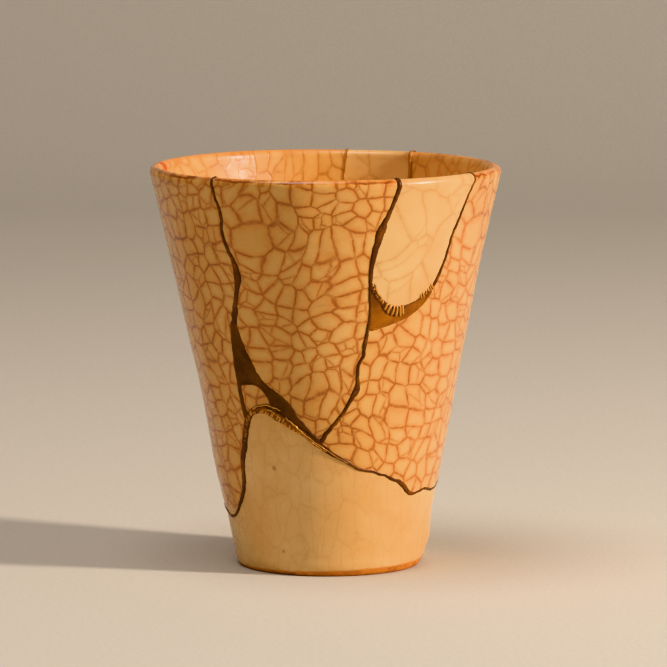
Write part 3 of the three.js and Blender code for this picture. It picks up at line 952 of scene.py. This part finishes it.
def makeCrazedGlaze():
    look = crazedLook
    material, tree, surface, place = startMaterial("crazedGlaze")
    craze, drift, worn = glazeMasks(tree, place, look)
    strength = sums(tree, "MULTIPLY_ADD", worn["Outside"], 1 - look["inside"], look["inside"])
    tone = sums(tree, "MULTIPLY_ADD", craze["CellTone"], 0.4, times(tree, drift["Drift"], 0.55))
    colour = paint(tree, look["glaze"], look["deepGlaze"], tone)
    colour = paint(tree, colour, look["halo"], craze["Halo"], look["haloShare"], strength)
    ink = paint(tree, look["line"], look["darkLine"], drift["Drift"])
    colour = paint(tree, colour, ink, craze["Line"], look["lineShare"], strength)
    colour = paint(tree, colour, look["lip"], worn["Lip"], 0.6)
    colour = paint(tree, colour, look["underLip"], worn["UnderLip"], 0.85)
    colour = paint(tree, colour, look["lipSpot"]["colour"], stainAt(tree, place, look["lipSpot"]))
    rough = between(tree, drift["Roughness"], 0.22, 0.34)
    feedAll(tree, surface, {
        "Base Color": colour, "Roughness": sums(tree, "ADD", rough, between(tree, worn["Outside"], 0.08, 0)),
        "Coat Weight": between(tree, worn["Outside"], 0.02, 0.25), "Coat Roughness": look["coatRoughness"]})
    height = sums(tree, "ADD", times(tree, craze["Height"], 0.18), drift["Height"])
    bumpInto(tree, surface, height, 0.35, 0.0004)
    return material


plainLook = {
    "glaze": srgb(247, 204, 142), "deepGlaze": srgb(236, 182, 116), "line": srgb(206, 146, 88),
    "lip": srgb(238, 178, 112), "bareFoot": srgb(222, 140, 64), "bareFootDark": srgb(184, 104, 44),
    "speck": srgb(150, 88, 46), "footCraze": 0.4, "coat": 0.2, "coatRoughness": 0.16,
    "crackle": {"PlateSize": 7.5, "CellSize": 9, "PlateLine": 0.05, "CellLine": 0, "Bend": 1.2},
    "footSpot": {"centre": (-10.5, -20.8, 23.4), "radius": 0.75},
}


def makePlainGlaze():
    look = plainLook
    material, tree, surface, place = startMaterial("plainGlaze")
    craze, drift, worn = glazeMasks(tree, place, look)
    colour = paint(tree, look["glaze"], look["deepGlaze"], drift["Drift"])
    strength = ramp(tree, split(tree, "XYZ", place)[2], 0.04, 0.055, look["footCraze"], 1.0)
    soft = sums(tree, "MULTIPLY_ADD", craze["Line"], 0.4, times(tree, craze["Halo"], 0.28))
    colour = paint(tree, colour, look["line"], soft, strength)
    colour = paint(tree, colour, look["lip"], worn["Lip"], 0.25)
    colour = paint(tree, colour, look["speck"], drift["Pinhole"], 0.5)
    colour = paint(tree, colour, look["speck"], stainAt(tree, place, look["footSpot"]), 0.6)
    bare = paint(tree, look["bareFoot"], look["bareFootDark"], worn["Mottle"])
    rough = between(tree, drift["Roughness"], 0.24, 0.34)
    feedAll(tree, surface, {
        "Base Color": paint(tree, colour, bare, worn["BareFoot"]),
        "Roughness": sums(tree, "ADD", rough, times(tree, worn["BareFoot"], 0.45)),
        "Coat Weight": look["coat"], "Coat Roughness": look["coatRoughness"]})
    height = sums(tree, "ADD", times(tree, craze["Height"], 0.05), drift["Height"])
    bumpInto(tree, surface, height, 0.3, 0.0004)
    return material


goldLook = {
    "gold": srgb(160, 98, 46), "lacquer": srgb(88, 44, 19), "edge": srgb(58, 26, 12),
    "insideLacquer": srgb(186, 124, 66), "insideGold": srgb(206, 146, 84),
    # The dark at the wrinkle ridges' feet is painted shade in the valleys between the ridges.
    "wrinkle": srgb(224, 158, 84), "wrinkleValleyShade": srgb(80, 38, 15),
    "wrinkleMetal": 0.25, "wrinkleRagged": 0.35,
    "putty": srgb(178, 108, 30), "puttyShade": srgb(140, 78, 20), "puttyMetal": 0.35,
    "puttySpot": {"centre": (11.0, -31.6, 59.3), "radius": 3.0},
    # The left fills' putty: a darker copy of the rim putty, painted shade for the left of the cup.
    "shadedPutty": srgb(113, 66, 23), "shadedPuttyDeep": srgb(77, 42, 14),
}


def makeLacquerGold():
    look = goldLook
    material, tree, surface, place = startMaterial("lacquerGold")
    edge = useGroup(tree, beadEdge, Bead=put(tree, "UVMap", uv_map="bead").outputs[0], Place=place)
    patches = ramp(tree, edge["Patch"], 0.36, 0.62)
    dusted = times(tree, patches, ramp(tree, edge["Slow"], 0.4, 0.62), without(tree, edge["Edge"]))
    # The bead's edges are darkened: dark lacquer showing past the gold, and painted shade where the bead
    # meets the glaze.
    colour = paint(tree, look["lacquer"], look["edge"], edge["Edge"])
    colour = paint(tree, colour, look["gold"], dusted, 0.85)
    thin = paint(tree, look["insideLacquer"], look["insideGold"], dusted)
    outside = useGroup(tree, wornEdges, Vector=place)["Outside"]
    feedAll(tree, surface, {
        "Base Color": paint(tree, thin, colour, outside),
        "Metallic": sums(tree, "MULTIPLY_ADD", dusted, 0.6, 0.15),
        "Roughness": ramp(tree, edge["Patch"], 0.3, 0.7, 0.3, 0.5, "LINEAR")})
    bumpInto(tree, surface, edge["Patch"], 0.5, 0.0002)
    return material


def makeWrinkleGold():
    look = goldLook
    material, tree, surface, place = startMaterial("wrinkleGold")
    bead = put(tree, "UVMap", uv_map="bead").outputs[0]
    edge = useGroup(tree, beadEdge, Bead=bead, Place=place, Ragged=look["wrinkleRagged"])
    feedAll(tree, surface, {
        # The edges of each ridge are painted dark: painted shade in the valleys between the ridges.
        "Base Color": paint(tree, look["wrinkle"], look["wrinkleValleyShade"], edge["Edge"]),
        "Metallic": look["wrinkleMetal"],
        "Roughness": ramp(tree, edge["Patch"], 0.3, 0.7, 0.28, 0.42, "LINEAR")})
    bumpInto(tree, surface, edge["Patch"], 0.3, 0.00015)
    return material


def makePutty(name, tone, shade, spot=None):
    material, tree, surface, place = startMaterial(name)
    grain = cloud(tree, place, 1400, 3.0, 0.6)
    slow = cloud(tree, place, 240, 3.0, 0.6)
    colour = paint(tree, tone, shade, ramp(tree, slow, 0.3, 0.7))
    if spot:
        # A spot at the fill's upper left is made darker.
        worn = stainAt(tree, place, spot)
        colour = paint(tree, colour, shade, worn, 0.7)
        colour = paint(tree, colour, goldLook["lacquer"], worn, 0.5)
    feedAll(tree, surface, {
        "Base Color": colour, "Metallic": goldLook["puttyMetal"],
        "Roughness": ramp(tree, grain, 0.3, 0.7, 0.4, 0.6, "LINEAR")})
    bumpInto(tree, surface, sums(tree, "ADD", grain, slow), 0.4, 0.00015)
    return material


finishes = {
    "crazedGlaze": makeCrazedGlaze(),
    "plainGlaze": makePlainGlaze(),
    "puttyGold": makePutty("puttyGold", goldLook["putty"], goldLook["puttyShade"], goldLook["puttySpot"]),
    "puttyInShade": makePutty("puttyInShade", goldLook["shadedPutty"], goldLook["shadedPuttyDeep"]),
    "lacquerGold": makeLacquerGold(),
    "wrinkleGold": makeWrinkleGold(),
}
for name, piece in pieces.items():
    finish = sherds[name]["finish"] if name in sherds else beadPieces[name][0]
    piece.data.materials.clear()
    piece.data.materials.append(finishes[finish])
    piece.name = name + "_look"
    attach(piece, "root")
    if name in sherds or name == "lacquer_seams":
        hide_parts(name)
print("materials made")

# Studio: a pale sweep, a soft key at the front right, a weaker light at the left and one above, in metres
studio = {
    "paper": srgb(214, 208, 200), "paperTooth": srgb(209, 203, 195), "paperRoughness": 0.85,
    "halfWidth": 1.6, "floorEnd": 0.75, "bend": 0.4, "wallHeight": 1.9,
    "air": 0.14, "airColour": (1, 0.97, 0.93, 1),
    "lights": {  # place, target, size, power, colour
        "key": ((0.92, -0.34, 0.5), (0, 0, 0.05), 0.11, 13.2, (1.0, 0.86, 0.7)),
        "fill": ((-0.75, 0.1, 0.65), (0, 0, 0.06), 0.5, 0.25, (1.0, 0.8, 0.6)),
        "top": ((-0.17, -0.16, 1.0), (0, 0, 0.06), 0.6, 4.8, (1.0, 0.9, 0.8)),
    },
}


def makeSweep():
    half, end, bend = studio["halfWidth"], studio["floorEnd"], studio["bend"]
    turn = [(-half, 0.0), (end, 0.0)]
    for a in np.linspace(0, math.pi / 2, 16)[1:]:
        turn.append((end + bend * math.sin(a), bend - bend * math.cos(a)))
    turn += [(end + bend, studio["wallHeight"])]
    points = [(x, y, z) for y, z in turn for x in (-half, half)]
    faces = [(2 * i, 2 * i + 1, 2 * i + 3, 2 * i + 2) for i in range(len(turn) - 1)]
    sweep = newMesh("sweep", points, faces)
    sweep.data.shade_smooth()
    material, tree, surface, place = startMaterial("sweepPaper")
    tooth = ramp(tree, cloud(tree, place, 900), 0.3, 0.7)
    feedAll(tree, surface, {
        "Base Color": paint(tree, studio["paper"], studio["paperTooth"], tooth),
        "Roughness": studio["paperRoughness"]})
    sweep.data.materials.append(material)


def softLight(name, place, target, size, power, colour):
    lamp = bpy.data.lights.new(name, "AREA")
    lamp.shape = "DISK"
    lamp.size = size
    lamp.energy = power
    lamp.color = colour
    made = bpy.data.objects.new(name, lamp)
    made.location = place
    made.rotation_euler = (Vector(target) - Vector(place)).to_track_quat("-Z", "Y").to_euler()
    bpy.context.collection.objects.link(made)


makeSweep()
for name, light in studio["lights"].items():
    softLight(name, *light)
world = bpy.data.worlds.new("studioAir")
world.use_nodes = True
world.node_tree.nodes["Background"].inputs[0].default_value = studio["airColour"]
world.node_tree.nodes["Background"].inputs[1].default_value = studio["air"]
bpy.context.scene.world = world
bpy.context.scene.view_settings.view_transform = "Khronos PBR Neutral"

# The camera stands about 1.2 m in front and looks down by 7 degrees, fitted to the rim and the foot
view = {"place": (1.76, -1169.0, 193.6), "down": 7.05, "lens": 299.6}
camera = bpy.data.objects.new("camera", bpy.data.cameras.new("camera"))
camera.data.lens = view["lens"]
camera.data.sensor_width = 36
camera.data.clip_end = 20
camera.location = Vector(view["place"]) * mm
camera.rotation_euler = (math.radians(90 - view["down"]), 0, 0)
bpy.context.collection.objects.link(camera)
bpy.context.scene.camera = camera
print("camera and lights set")
